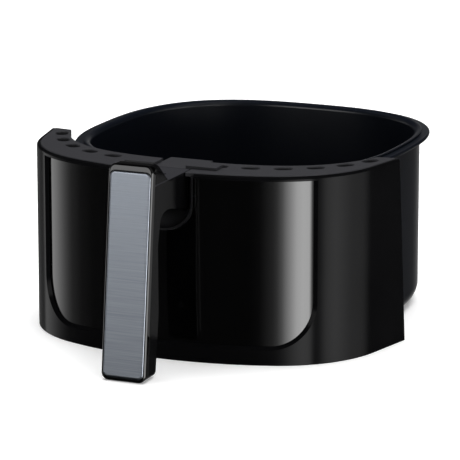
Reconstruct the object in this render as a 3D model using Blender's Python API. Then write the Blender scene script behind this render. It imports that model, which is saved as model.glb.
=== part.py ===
"""Air fryer drawer: a coated pan behind a moulded front, and a basket that lifts out by its handle.

Units are metres, +Z is up and the handle points to -Y.
The origin is the centre of the pan's underside, which rests on the floor.
"""
import math

import bmesh
import bpy
from mathutils import Matrix, Vector

MM = 0.001
GAP = 0.3 * MM                     # clearance left between touching pieces

# Driving dimensions
BODY_HEIGHT = 135 * MM             # top of the vent deck
FRONT_Y = -164.4 * MM              # foremost point of the moulded front
RIM_HALF_X = 122.4 * MM            # pan rim, half width
RIM_HALF_Y = 125.3 * MM            # pan rim, half depth
RIM_Z = 129.7 * MM
SQUARENESS = 2.73                  # exponent of the rounded-square plan
WALL = 1.2 * MM                    # pressed steel
PAN_INSET = 7 * MM                 # rim edge to the pan's outer wall
BASKET_INSET = 9.8 * MM            # rim edge to the basket's outer wall
BASKET_FLOOR = 20 * MM
BASKET_LIP_INSET = 5.8 * MM
LIP_R = 4 * MM                     # roll between the basket's lip and its wall
RINGS = 64                         # facets round the pan and basket

# The front in plan: a flat arc, a corner arc and a straight end on each side
FRONT_R = 228 * MM
FRONT_ANGLE = math.radians(20.1)
CORNER_R = 82.7 * MM
END_ANGLE = math.radians(78)
END_RUN = 31.3 * MM                # straight end at the top
END_LEAN = 9.4 * MM                # how much longer the straight end is at the floor
SHELL_WALL = 2.5 * MM

WINDOW_HALF = 109.5 * MM           # along the front, from its centre
WINDOW_LOW = 13.3 * MM
WINDOW_HIGH = 131 * MM
WINDOW_R = 32 * MM
PANEL_LAP = 4.2 * MM               # the panel is this much wider than its window
PANEL_THICK = 1.8 * MM

DECK_THICK = 2.8 * MM
DECK_HALF_X = 127.1 * MM           # inner edge of the deck, same plan law as the rim
DECK_HALF_Y = 123.5 * MM
DECK_END_ANGLE = math.radians(63.1)
SLOT_HALF_X = 131.2 * MM           # line that the vent slots follow
SLOT_HALF_Y = 134.5 * MM
SLOT_LENGTH = 13 * MM
SLOT_WIDTH = 8.6 * MM
SLOT_PITCH = 22.8 * MM
SLOT_COUNT = 6                     # on each side
SLOT_END_ANGLE = math.radians(58.2)
SKIRT_WALL = 1.5 * MM              # wall under the deck's ends
SKIRT_START_ANGLE = math.radians(50.5)

SOCKET_HALF = 24 * MM
SOCKET_CENTRE_Z = 115 * MM
SOCKET_DROP = 22.5 * MM
NECK_HALF = 16.2 * MM
BAR_HALF = 16.7 * MM
NECK_END = 27 * MM                 # behind the front's foremost point
LAP_START = 14 * MM                # the saddle laps the neck from here back
LAP_Z = 131.3 * MM

BAR_TOP = 149.4 * MM
BAR_LOW = 0.3 * MM
BAR_FRONT_TOP = -48.5 * MM         # measured from the front's foremost point
BAR_FRONT_LOW = -64.5 * MM
BAR_REAR = ((4 * MM, -42.5 * MM), (45 * MM, -37.8 * MM), (98 * MM, -38.4 * MM))    # height, distance
FRAME_DEPTH = 5 * MM
INLAY_HALF = 15.2 * MM
INLAY_LOW = 3 * MM
INLAY_HIGH = 144.5 * MM
INLAY_PROUD = 0.35 * MM            # the inlay stands this far in front of its frame
WING_HALF = 35 * MM                # reach of the saddle's wings
WING_Y = (15 * MM, 27.5 * MM)
WING_TOP = 137.1 * MM
STRAP_TOP = 133.2 * MM             # where the strap crosses the rim

BUTTON_HALF = 6.6 * MM
BUTTON_Y = (-20 * MM, -6 * MM)
BUTTON_TOP = 135.2 * MM
BUTTON_LOW = 128 * MM
SPRING_Y = -16 * MM
LATCH_HALF = 2.2 * MM
PIVOT_Y = 20 * MM
PIVOT_Z = 125.3 * MM
PIN_R = 1.5 * MM


# Scene, collections and materials
for old in list(bpy.data.objects):
    bpy.data.objects.remove(old, do_unlink=True)


def new_collection(name):
    group = bpy.data.collections.new(name)
    bpy.context.scene.collection.children.link(group)
    return group


PARTS = new_collection("air_fryer_drawer")
CUTTERS = new_collection("cutters")


def material(name, colour, roughness, metallic=0.0):
    made = bpy.data.materials.new(name)
    made.use_nodes = True
    shader = made.node_tree.nodes["Principled BSDF"]
    shader.inputs["Base Color"].default_value = (*colour, 1.0)
    shader.inputs["Roughness"].default_value = roughness
    shader.inputs["Metallic"].default_value = metallic
    return made


COATED = material("nonstick_coating", (0.018, 0.020, 0.026), 0.35)
SHELL = material("black_satin_plastic", (0.012, 0.012, 0.013), 0.30)
GLOSS = material("black_gloss_plastic", (0.006, 0.006, 0.007), 0.06)
DECK = material("textured_grey_plastic", (0.045, 0.045, 0.048), 0.60)
STEEL = material("brushed_steel", (0.30, 0.32, 0.35), 0.32, 1.0)
ZINC = material("zinc_plated_steel", (0.45, 0.45, 0.46), 0.35, 1.0)


# Shape helpers
def front_y(distance):
    """World Y of a place measured back from the front's foremost point."""
    return FRONT_Y + distance


def finish(name, bm, finish_material, group=PARTS):
    """Turn a bmesh into an object with outward faces."""
    bmesh.ops.remove_doubles(bm, verts=bm.verts, dist=0.001 * MM)
    bmesh.ops.recalc_face_normals(bm, faces=bm.faces)
    mesh = bpy.data.meshes.new(name)
    bm.to_mesh(mesh)
    bm.free()
    made = bpy.data.objects.new(name, mesh)
    group.objects.link(made)
    if finish_material:
        mesh.materials.append(finish_material)
    if group is CUTTERS:
        made.hide_render = True
        made.display_type = "WIRE"
    return made


def loft(sections):
    """Skin a list of sections, each a closed ring of as many points, and cap both ends."""
    bm = bmesh.new()
    rings = [[bm.verts.new(point) for point in section] for section in sections]
    count = len(rings[0])
    for one, two in zip(rings, rings[1:]):
        for i in range(count):
            j = (i + 1) % count
            bm.faces.new((one[i], one[j], two[j], two[i]))
    bm.faces.new(rings[0])
    bm.faces.new(rings[-1])
    return bm


def block(low, high):
    bm = bmesh.new()
    size = [b - a for a, b in zip(low, high)]
    middle = [(a + b) / 2 for a, b in zip(low, high)]
    bmesh.ops.create_cube(bm, size=1, matrix=Matrix.Translation(middle) @ Matrix.Diagonal((*size, 1)))
    return bm


def rod(start, end, radius, sides=16):
    """A cylinder between two points."""
    start, end = Vector(start), Vector(end)
    run = end - start
    turn = run.to_track_quat("Z", "Y").to_matrix().to_4x4()
    bm = bmesh.new()
    bmesh.ops.create_cone(bm, cap_ends=True, segments=sides, radius1=radius, radius2=radius,
                          depth=run.length, matrix=Matrix.Translation((start + end) / 2) @ turn)
    return bm


def side_profile(points, half):
    """A closed outline in the YZ plane, given as (distance behind the front, z), carried across X."""
    return loft([[(x, front_y(y), z) for y, z in points] for x in (-half, half)])


def soften(bm, width, segments, along_x=False):
    """Round the edges that lie in the two side planes, or all of those that turn by over 30 degrees."""
    edges = [e for e in bm.edges if e.is_manifold and e.calc_face_angle(0) > math.radians(30)]
    if not along_x:
        edges = [e for e in edges if abs(e.verts[0].co.x - e.verts[1].co.x) < 0.01 * MM]
    bmesh.ops.bevel(bm, geom=edges, offset=width, segments=segments, affect="EDGES",
                    clamp_overlap=True)
    return bm


def merge(bms):
    """Put several bmeshes into one, as separate bodies."""
    whole = bmesh.new()
    for bm in bms:
        mesh = bpy.data.meshes.new("piece")
        bm.to_mesh(mesh)
        bm.free()
        whole.from_mesh(mesh)
        bpy.data.meshes.remove(mesh)
    return whole


def boolean(target, bm, operation):
    """Cut, join or keep with a closed bmesh, and apply it."""
    tool = finish(target.name + "_" + operation.lower(), bm, None, CUTTERS)
    modifier = target.modifiers.new(operation.lower(), "BOOLEAN")
    modifier.operation = operation
    modifier.solver = "EXACT"
    modifier.use_self = True
    modifier.object = tool
    bpy.context.view_layer.update()
    graph = bpy.context.evaluated_depsgraph_get()
    mesh = bpy.data.meshes.new_from_object(target.evaluated_get(graph))
    target.modifiers.clear()
    target.data = mesh


def plan(angle, half_x, half_y):
    """Point of the rounded-square plan; angle 0 is straight ahead, towards the handle."""
    across, along = math.sin(angle), math.cos(angle)
    reach = (abs(across / half_x) ** SQUARENESS + abs(along / half_y) ** SQUARENESS)
    reach = reach ** (-1 / SQUARENESS)
    return reach * across, -reach * along


def plan_ring(inset, z, count=RINGS):
    """Ring of points at one inset from the rim's edge and one height."""
    points = (plan(2 * math.pi * i / count, RIM_HALF_X - inset, RIM_HALF_Y - inset)
              for i in range(count))
    return [(x, y, z) for x, y in points]


def front_line(s, depth=0.0):
    """Point at signed length s along the front's outline, and depth behind its surface."""
    side, run = math.copysign(1, s), abs(s)
    flat_run = FRONT_R * FRONT_ANGLE
    corner_run = CORNER_R * (END_ANGLE - FRONT_ANGLE)
    angle = min(run, flat_run) / FRONT_R
    x = FRONT_R * math.sin(angle)
    y = FRONT_R * (1 - math.cos(angle))
    if run > flat_run:
        angle = FRONT_ANGLE + min(run - flat_run, corner_run) / CORNER_R
        x += CORNER_R * (math.sin(angle) - math.sin(FRONT_ANGLE))
        y += CORNER_R * (math.cos(FRONT_ANGLE) - math.cos(angle))
    rest = max(0.0, run - flat_run - corner_run)
    x += rest * math.cos(angle) - depth * math.sin(angle)
    y += rest * math.sin(angle) + depth * math.cos(angle)
    return side * x, front_y(y)


FRONT_HALF_RUN = FRONT_R * FRONT_ANGLE + CORNER_R * (END_ANGLE - FRONT_ANGLE) + END_RUN


def steps(low, high, count):
    return [low + (high - low) * i / count for i in range(count + 1)]


def wrapped_plate(half, low, high, radius, outer, inner, count=30):
    """A plate wrapped on the front's outline, with two round lower corners."""
    turn = [half - radius + radius * math.sin(math.radians(a)) for a in range(0, 91, 15)]
    stations = sorted({round(s, 7) for s in
                       [-t for t in turn] + turn + steps(radius - half, half - radius, count)})
    sections = []
    for s in stations:
        over = max(0.0, abs(s) - (half - radius))
        floor = low + radius - math.sqrt(max(0.0, radius ** 2 - over ** 2))
        near, far = front_line(s, outer), front_line(s, inner)
        sections.append([(*near, floor), (*near, high), (*far, high), (*far, floor)])
    return loft(sections)


def socket_outline(half, centre_z, drop, high, power, count=8):
    """A U in the XZ plane, as (x, z) from its left top round to its right top."""
    turn = [math.pi * i / (2 * count) for i in range(-count, count + 1)]
    curve = [(math.copysign(abs(math.sin(a)) ** (2 / power), a) * half,
              centre_z - drop * math.cos(a) ** (2 / power)) for a in turn]
    return [(-half, high)] + curve + [(half, high)]


def notch_cutter(front, back):
    """A block through the front, with the socket's U outline."""
    outline = socket_outline(SOCKET_HALF, SOCKET_CENTRE_Z, SOCKET_DROP, 160 * MM, 2)
    return loft([[(x, front_y(y), z) for x, z in outline] for y in (front, back)])


# Drawer: everything that stays when the basket is lifted out
def make_pan():
    """Pressed pan: from the inside floor up to the flange, over its edge and down the outside."""
    outer, inner = PAN_INSET, PAN_INSET + WALL
    bend = 15 * MM
    arc = [math.radians(a) for a in (0, 22, 45, 68, 90)]
    inside = [(inner + bend * (1 - math.sin(a)), WALL + bend * (1 - math.cos(a))) for a in arc]
    outside = [(outer + bend * (1 - math.sin(a)), bend * (1 - math.cos(a))) for a in arc]
    flange = [(inner, RIM_Z - 1.5 * MM), (inner - 1.5 * MM, RIM_Z), (1.2 * MM, RIM_Z),
              (0, RIM_Z - 1 * MM), (0, RIM_Z - 2.6 * MM), (1.2 * MM, RIM_Z - 2.6 * MM),
              (1.4 * MM, RIM_Z - WALL), (outer - 1.8 * MM, RIM_Z - WALL), (outer, RIM_Z - 3 * MM)]
    rings = [plan_ring(i, z) for i, z in inside + flange + outside[::-1]]
    return finish("drawer_pan", loft(rings), COATED)


def make_shell():
    """Moulded front: one wrapped wall with a window for the panel and a notch for the socket."""
    flat_run = FRONT_R * FRONT_ANGLE
    corner_end = FRONT_HALF_RUN - END_RUN
    half = steps(0, flat_run, 8)[1:] + steps(flat_run, corner_end, 12)[1:] + [FRONT_HALF_RUN]
    sections = []
    for s in [-h for h in half[::-1]] + [0.0] + half:
        low = s
        if abs(s) == FRONT_HALF_RUN:
            low = s + math.copysign(END_LEAN, s)
        top = BODY_HEIGHT - 0.4 * MM
        sections.append([(*front_line(low), 0), (*front_line(s), top),
                         (*front_line(s, SHELL_WALL), top), (*front_line(low, SHELL_WALL), 0)])
    shell = finish("front_shell", loft(sections), SHELL)
    boolean(shell, wrapped_plate(WINDOW_HALF, WINDOW_LOW, WINDOW_HIGH, WINDOW_R,
                                 -5 * MM, 8 * MM), "DIFFERENCE")
    boolean(shell, notch_cutter(-10 * MM, 12 * MM), "DIFFERENCE")
    return shell


def make_panel():
    """Gloss panel behind the window."""
    outer = SHELL_WALL + GAP
    panel = finish("front_panel", wrapped_plate(
        WINDOW_HALF + PANEL_LAP, WINDOW_LOW - PANEL_LAP, WINDOW_HIGH + 0.7 * MM,
        WINDOW_R + PANEL_LAP, outer, outer + PANEL_THICK), GLOSS)
    boolean(panel, notch_cutter(-10 * MM, 16 * MM), "DIFFERENCE")
    return panel


def slot_angles():
    """Angles of the vent slots on one side, a constant pitch apart along their line."""
    angles, angle = [], SLOT_END_ANGLE
    while len(angles) < SLOT_COUNT:
        angles.append(angle)
        start = Vector(plan(angle, SLOT_HALF_X, SLOT_HALF_Y))
        while (Vector(plan(angle, SLOT_HALF_X, SLOT_HALF_Y)) - start).length < SLOT_PITCH:
            angle -= math.radians(0.05)
    return angles


def slot_cutter(angle, side):
    """An obround prism that lies along the line of slots."""
    here = Vector(plan(angle, SLOT_HALF_X, SLOT_HALF_Y))
    ahead = Vector(plan(angle + 0.01, SLOT_HALF_X, SLOT_HALF_Y))
    along = (ahead - here).normalized()
    across = Vector((-along.y, along.x))
    radius = SLOT_WIDTH / 2
    reach = SLOT_LENGTH / 2 - radius
    ring = []
    for end in (1, -1):
        for k in range(7):
            a = math.pi * (k / 6 - 0.5)
            ring.append(here + end * (along * (reach + radius * math.cos(a))
                                      + across * radius * math.sin(a)))
    low, high = BODY_HEIGHT - 2 * DECK_THICK, BODY_HEIGHT + DECK_THICK
    return loft([[(side * p.x, p.y, z) for p in ring] for z in (low, high)])


BOSS_PLACES = [(side * run, depth) for side in (-1, 1)
               for run, depth in ((45 * MM, 13 * MM), (104 * MM, 12 * MM))]
BRACKET_Z = 117 * MM
BRACKET_TOP = 118.5 * MM
BRACKET_HALF_RUN = 184 * MM
BRACKET_END_ANGLE = math.radians(61)


def skirt(side):
    """Wall under one end of the deck: across its end, then along its inner edge."""
    path = [Vector(front_line(FRONT_HALF_RUN - 0.5 * MM, SHELL_WALL + 3 * GAP))]
    path += [Vector(plan(angle, DECK_HALF_X, DECK_HALF_Y))
             for angle in steps(DECK_END_ANGLE, SKIRT_START_ANGLE, 4)]
    runs = [(two - one).normalized() for one, two in zip(path, path[1:])]
    sections = []
    for point, before, after in zip(path, runs[:1] + runs, runs + runs[-1:]):
        left, right = (Vector((-run.y, run.x)) for run in (before, after))
        inside = point + (left + right) * SKIRT_WALL / (1 + left.dot(right))
        low, high = BRACKET_TOP + GAP, BODY_HEIGHT - 1 * MM
        sections.append([(side * point.x, point.y, low), (side * point.x, point.y, high),
                         (side * inside.x, inside.y, high), (side * inside.x, inside.y, low)])
    return loft(sections)


def make_deck():
    """Vent deck: a crescent plate with a channel for the handle, slots, screw bosses and end skirts."""
    low = BODY_HEIGHT - DECK_THICK
    sections = []
    for t in steps(-1, 1, 44):
        outer = front_line(t * (FRONT_HALF_RUN - 0.5 * MM), SHELL_WALL + GAP)
        inner = plan(t * DECK_END_ANGLE, DECK_HALF_X, DECK_HALF_Y)
        sections.append([(*outer, low), (*outer, BODY_HEIGHT), (*inner, BODY_HEIGHT), (*inner, low)])
    deck = finish("vent_deck", loft(sections), DECK)
    bridge_low, bridge_high = 129.6 * MM, 131.3 * MM
    boolean(deck, block((-24 * MM, front_y(31.5 * MM), bridge_low),
                        (24 * MM, front_y(38 * MM), 133 * MM)), "UNION")
    channel = NECK_HALF + 0.8 * MM
    boolean(deck, block((-channel, front_y(-5 * MM), 120 * MM),
                        (channel, front_y(31 * MM), 150 * MM)), "DIFFERENCE")
    boolean(deck, block((-channel, front_y(30 * MM), bridge_high),
                        (channel, front_y(60 * MM), 150 * MM)), "DIFFERENCE")
    for run, depth in BOSS_PLACES:
        x, y = front_line(run, depth)
        boolean(deck, rod((x, y, BRACKET_TOP + GAP), (x, y, low + 1 * MM), 4 * MM), "UNION")
        boolean(deck, rod((x, y, BRACKET_Z), (x, y, 128.5 * MM), 1.6 * MM, 10), "DIFFERENCE")
    for side in (-1, 1):
        boolean(deck, skirt(side), "UNION")
    slots = [slot_cutter(angle, side) for angle in slot_angles() for side in (-1, 1)]
    boolean(deck, merge(slots), "DIFFERENCE")
    return deck


def make_bracket():
    """Crescent bracket welded to the pan, which carries the deck and the front."""
    sections = []
    for t in steps(-1, 1, 32):
        outer = front_line(t * BRACKET_HALF_RUN, 6 * MM)
        inset = PAN_INSET - GAP
        inner = plan(t * BRACKET_END_ANGLE, RIM_HALF_X - inset, RIM_HALF_Y - inset)
        sections.append([(*outer, BRACKET_Z), (*outer, BRACKET_TOP),
                         (*inner, BRACKET_TOP), (*inner, BRACKET_Z)])
    bracket = finish("pan_bracket", loft(sections), COATED)
    boolean(bracket, block((-21 * MM, front_y(-5 * MM), 110 * MM),
                           (21 * MM, front_y(37 * MM), 125 * MM)), "DIFFERENCE")
    for run, depth in BOSS_PLACES:
        x, y = front_line(run, depth)
        boolean(bracket, rod((x, y, 110 * MM), (x, y, 125 * MM), 1.8 * MM, 10), "DIFFERENCE")
    return bracket


def screw(place, direction, length, radius=1.3 * MM, head_r=2.6 * MM, head_h=1.5 * MM):
    """A screw whose head's outer face is at place and whose shank runs along direction."""
    place, direction = Vector(place), Vector(direction)
    head = rod(place, place + direction * head_h, head_r, 14)
    shank = rod(place + direction * head_h * 0.5, place + direction * length, radius, 10)
    return head, shank


def make_screws(name, screws):
    """Identical fasteners, each an object of its own."""
    for number, (head, shank) in enumerate(screws, 1):
        boolean(finish(f"{name}_{number}", head, ZINC), shank, "UNION")


def make_deck_screws():
    fasteners = []
    for run, depth in BOSS_PLACES:
        x, y = front_line(run, depth)
        fasteners.append(screw((x, y, BRACKET_Z - GAP - 1.6 * MM), (0, 0, 1), 12 * MM))
    make_screws("deck_screw", fasteners)


def make_shield():
    """Sheet metal heat shield behind the front, which hangs under the bracket."""
    depth = 16 * MM
    shield = finish("heat_shield", wrapped_plate(
        92 * MM, 6 * MM, BRACKET_Z - GAP, 10 * MM, depth, depth + 0.8 * MM, 24), ZINC)
    boolean(shield, block((-22 * MM, front_y(0), 100 * MM), (22 * MM, front_y(40 * MM), 130 * MM)),
            "DIFFERENCE")
    for run, depth in BOSS_PLACES:
        x, y = front_line(run, depth)
        boolean(shield, rod((x, y, 110 * MM), (x, y, 125 * MM), 4.5 * MM, 12), "DIFFERENCE")
    return shield


def make_socket():
    """Funnel that lines the front's notch and guides the neck."""
    wall = 1.5 * MM
    stations = [(1.2 * MM, SOCKET_HALF - GAP - wall, SOCKET_CENTRE_Z, SOCKET_DROP - GAP - wall, 2),
                (10 * MM, NECK_HALF + 0.9 * MM, 113.6 * MM, 6.6 * MM, 6),
                (NECK_END, NECK_HALF + 0.9 * MM, 113.6 * MM, 6.6 * MM, 6)]
    top = BODY_HEIGHT - DECK_THICK - GAP
    sections = []
    for distance, half, centre_z, drop, power in stations:
        inner = socket_outline(half, centre_z, drop, top, power)
        outer = socket_outline(half + wall, centre_z, drop + wall, top, power)
        ring = inner + outer[::-1]
        sections.append([(x, front_y(distance), z) for x, z in ring])
    return finish("handle_socket", loft(sections), SHELL)


# Basket: what lifts out
def make_basket():
    """Inner basket: a thin cup with a flat lip over the pan's rim and a perforated floor."""
    outer, inner = BASKET_INSET, BASKET_INSET + WALL
    bend = 14 * MM
    arc = [math.radians(a) for a in (0, 30, 60, 90)]
    low = BASKET_FLOOR
    inside = [(inner + bend * (1 - math.sin(a)), low + WALL + bend * (1 - math.cos(a))) for a in arc]
    outside = [(outer + bend * (1 - math.sin(a)), low + bend * (1 - math.cos(a))) for a in arc]
    lip_top = RIM_Z + GAP + WALL
    turn = [math.radians(a) for a in (90, 60, 30, 0)]
    lip = [(inner - LIP_R * (1 - math.sin(a)), lip_top - LIP_R * (1 - math.cos(a))) for a in turn]
    lip += [(BASKET_LIP_INSET, lip_top), (BASKET_LIP_INSET, lip_top - WALL)]
    lip += [(inner - LIP_R + (LIP_R - WALL) * math.sin(a), lip_top - LIP_R + (LIP_R - WALL) * math.cos(a))
            for a in turn[::-1]]
    rings = [plan_ring(i, z) for i, z in inside + lip + outside[::-1]]
    basket = finish("basket", loft(rings), COATED)
    pitch = 32 * MM
    holes = []
    for column in range(-2, 3):
        for row in range(-2, 3):
            x, y = column * pitch, row * pitch
            holes.append(rod((x, y, low - 5 * MM), (x, y, low + 8 * MM), 6 * MM, 10))
    boolean(basket, merge(holes), "DIFFERENCE")
    return basket


RIVET_PLACES = [(side * 9 * MM, 117 * MM) for side in (-1, 1)]
BASKET_FRONT = -FRONT_Y - RIM_HALF_Y + BASKET_INSET      # outer wall, measured behind the front
TONGUE = (BASKET_FRONT + WALL + 0.7 * MM, BASKET_FRONT + WALL + 2.9 * MM)


def make_saddle():
    """Strap from the neck over the rim, with a tongue inside the basket and two wings on the deck."""
    low = LAP_Z + GAP
    saddle = finish("basket_saddle", block((-NECK_HALF, front_y(LAP_START + GAP), low),
                                           (NECK_HALF, front_y(WING_Y[1]), BODY_HEIGHT)), DECK)
    boolean(saddle, block((-NECK_HALF, front_y(WING_Y[1] - 1 * MM), low),
                          (NECK_HALF, front_y(TONGUE[1]), STRAP_TOP)), "UNION")
    boolean(saddle, block((-NECK_HALF, front_y(TONGUE[0]), 106 * MM),
                          (NECK_HALF, front_y(TONGUE[1]), STRAP_TOP - 1 * MM)), "UNION")
    root = 12 * MM
    for side in (-1, 1):
        for x_out, z_low in ((WING_HALF, BODY_HEIGHT + GAP), (NECK_HALF, BODY_HEIGHT - 1 * MM)):
            x_low, x_high = sorted((side * root, side * x_out))
            boolean(saddle, block((x_low, front_y(WING_Y[0]), z_low),
                                  (x_high, front_y(WING_Y[1]), WING_TOP)), "UNION")
    for x, z in RIVET_PLACES:
        boolean(saddle, rod((x, front_y(TONGUE[0] - 4 * MM), z), (x, front_y(TONGUE[1] + 4 * MM), z),
                            1.8 * MM, 12), "DIFFERENCE")
    for x in (-10 * MM, 10 * MM):
        boolean(saddle, rod((x, front_y(PIVOT_Y), 125 * MM), (x, front_y(PIVOT_Y), 134 * MM),
                            1.6 * MM, 10), "DIFFERENCE")
    return saddle


def make_rivets(basket):
    """Two rivets that hold the saddle's tongue to the basket's wall."""
    for number, (x, z) in enumerate(RIVET_PLACES, 1):
        near, far = BASKET_FRONT - GAP, TONGUE[1] + GAP
        boolean(basket, rod((x, front_y(near - 3 * MM), z), (x, front_y(near + 2 * MM), z),
                            1.8 * MM, 12), "DIFFERENCE")
        shank = rod((x, front_y(near - 0.4 * MM), z), (x, front_y(far + 0.5 * MM), z), 1.4 * MM, 12)
        rivet = finish(f"saddle_rivet_{number}", shank, ZINC)
        for start, end in ((near - 0.7 * MM, near), (far, far + 1 * MM)):
            boolean(rivet, rod((x, front_y(start), z), (x, front_y(end), z), 3 * MM, 14), "UNION")


def bar_front(z, depth=0.0):
    """Distance of the bar's front plane, or a plane behind it, at one height."""
    share = (z - BAR_LOW) / (BAR_TOP - BAR_LOW)
    return BAR_FRONT_LOW + (BAR_FRONT_TOP - BAR_FRONT_LOW) * share + depth


def make_handle_body():
    """Neck and the rear half of the bar, hollowed for the button, the spring and the latch."""
    split = FRAME_DEPTH + GAP
    outline = [(bar_front(BAR_LOW, split), BAR_LOW), (-46 * MM, BAR_LOW)]
    outline += [(y, z) for z, y in BAR_REAR]
    outline += [(-37 * MM, 105 * MM), (-32.5 * MM, 110.5 * MM),
               (-25 * MM, 113 * MM), (-9 * MM, 111.2 * MM), (6 * MM, 108.4 * MM),
               (NECK_END, 108.4 * MM), (NECK_END, LAP_Z), (LAP_START, LAP_Z),
               (LAP_START, BODY_HEIGHT), (-24 * MM, BODY_HEIGHT), (-38.8 * MM, BAR_TOP),
               (bar_front(BAR_TOP, split), BAR_TOP)]
    body = finish("handle_body", soften(side_profile(outline, NECK_HALF), 2.4 * MM, 2), SHELL)
    pocket = BUTTON_HALF + 0.4 * MM
    boolean(body, block((-pocket, front_y(BUTTON_Y[0] - 0.4 * MM), 117 * MM),
                        (pocket, front_y(BUTTON_Y[1] + 0.4 * MM), 150 * MM)), "DIFFERENCE")
    slot = LATCH_HALF + 0.5 * MM
    boolean(body, block((-slot, front_y(-10.5 * MM), 120.5 * MM),
                        (slot, front_y(NECK_END + 5 * MM), 129.6 * MM)), "DIFFERENCE")
    boolean(body, rod((-6.5 * MM, front_y(PIVOT_Y), PIVOT_Z), (6.5 * MM, front_y(PIVOT_Y), PIVOT_Z),
                      PIN_R + GAP, 14), "DIFFERENCE")
    for x in (-10 * MM, 10 * MM):
        boolean(body, rod((x, front_y(PIVOT_Y), 100 * MM), (x, front_y(PIVOT_Y), 140 * MM),
                          1.6 * MM, 10), "DIFFERENCE")
        boolean(body, rod((x, front_y(PIVOT_Y), 100 * MM), (x, front_y(PIVOT_Y), 110.4 * MM),
                          3 * MM, 14), "DIFFERENCE")
    for z in SCREW_HEIGHTS:
        boolean(body, rod((0, front_y(-70 * MM), z), (0, front_y(-30 * MM), z), 1.7 * MM, 12),
                "DIFFERENCE")
        boolean(body, rod((0, front_y(head_seat(z)), z), (0, front_y(-20 * MM), z), 3.2 * MM, 14),
                "DIFFERENCE")
    return body


SCREW_HEIGHTS = (28 * MM, 92 * MM)


def head_seat(z):
    """Distance at which a bar screw's head bears, near the bar's rear face."""
    (z0, y0), (z1, y1) = BAR_REAR[:2] if z < BAR_REAR[1][0] else BAR_REAR[1:]
    return y0 + (y1 - y0) * (z - z0) / (z1 - z0) - 2.4 * MM


def make_handle_front():
    """Front frame of the bar, with a shallow pocket for the inlay."""
    outline = [(bar_front(BAR_LOW), BAR_LOW), (bar_front(BAR_LOW, FRAME_DEPTH), BAR_LOW),
               (bar_front(BAR_TOP, FRAME_DEPTH), BAR_TOP), (bar_front(BAR_TOP), BAR_TOP)]
    frame = finish("handle_front", soften(side_profile(outline, BAR_HALF), 1.6 * MM, 2), GLOSS)
    low, high, half = INLAY_LOW - GAP, INLAY_HIGH + GAP, INLAY_HALF + GAP
    pocket = [(bar_front(low, -4 * MM), low), (bar_front(low, 1.8 * MM), low),
              (bar_front(high, 1.8 * MM), high), (bar_front(high, -4 * MM), high)]
    boolean(frame, side_profile(pocket, half), "DIFFERENCE")
    for z in SCREW_HEIGHTS:
        boolean(frame, rod((0, front_y(bar_front(z, 2.8 * MM)), z), (0, front_y(-40 * MM), z),
                           1.7 * MM, 12), "DIFFERENCE")
    return frame


def make_inlay():
    """Brushed steel plate in the frame's pocket, a hair in front of its surface."""
    outline = [(bar_front(INLAY_LOW, -INLAY_PROUD), INLAY_LOW), (bar_front(INLAY_LOW, 1.5 * MM), INLAY_LOW),
               (bar_front(INLAY_HIGH, 1.5 * MM), INLAY_HIGH),
               (bar_front(INLAY_HIGH, -INLAY_PROUD), INLAY_HIGH)]
    return finish("handle_inlay", side_profile(outline, INLAY_HALF), STEEL)


def make_handle_screws():
    fasteners = []
    for z in SCREW_HEIGHTS:
        seat = head_seat(z)
        length = seat + 1.8 * MM - bar_front(z, 3.3 * MM)
        fasteners.append(screw((0, front_y(seat + 1.8 * MM), z), (0, -1, 0), length))
    make_screws("handle_screw", fasteners)


def make_saddle_screws():
    places = [(x, front_y(PIVOT_Y), 108.7 * MM) for x in (-10 * MM, 10 * MM)]
    make_screws("saddle_screw", [screw(p, (0, 0, 1), 24.6 * MM) for p in places])


def make_button():
    bm = block((-BUTTON_HALF, front_y(BUTTON_Y[0]), BUTTON_LOW),
               (BUTTON_HALF, front_y(BUTTON_Y[1]), BUTTON_TOP))
    return finish("release_button", soften(bm, 0.8 * MM, 2, along_x=True), DECK)


def make_spring():
    """Compression spring under the button."""
    coil_r, wire_r, turns, per_turn = 3.0 * MM, 0.4 * MM, 5, 10
    low, high = 117.8 * MM, BUTTON_LOW - GAP - wire_r
    curve = bpy.data.curves.new("button_spring", "CURVE")
    curve.dimensions = "3D"
    curve.bevel_depth = wire_r
    curve.bevel_resolution = 2
    curve.use_fill_caps = True
    spline = curve.splines.new("POLY")
    count = turns * per_turn
    spline.points.add(count)
    for i in range(count + 1):
        angle = 2 * math.pi * i / per_turn
        z = low + (high - low) * i / count
        spline.points[i].co = (coil_r * math.cos(angle), front_y(SPRING_Y) + coil_r * math.sin(angle),
                               z, 1)
    made = bpy.data.objects.new("button_spring", curve)
    PARTS.objects.link(made)
    curve.materials.append(ZINC)
    return made


def make_latch():
    """Bell-crank latch: its arm lies under the button and its nose hangs behind the socket."""
    top, low = 127.6 * MM, 124.4 * MM
    outline = [(-9 * MM, low), (-9 * MM, top), (30.2 * MM, top), (30.2 * MM, 105 * MM),
               (27.7 * MM, 105 * MM), (27.7 * MM, 121 * MM), (24 * MM, 122.6 * MM), (16 * MM, 122.6 * MM),
               (12 * MM, low)]
    latch = finish("latch_lever", side_profile(outline, LATCH_HALF), ZINC)
    boolean(latch, rod((-5 * MM, front_y(PIVOT_Y), PIVOT_Z), (5 * MM, front_y(PIVOT_Y), PIVOT_Z),
                       PIN_R + GAP, 14), "DIFFERENCE")
    pivot = Vector((0, front_y(PIVOT_Y), PIVOT_Z))
    latch.data.transform(Matrix.Translation(-pivot))
    latch.location = pivot
    return latch


def make_pin():
    return finish("latch_pin", rod((-6.2 * MM, front_y(PIVOT_Y), PIVOT_Z),
                                   (6.2 * MM, front_y(PIVOT_Y), PIVOT_Z), PIN_R, 14), ZINC)


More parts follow.
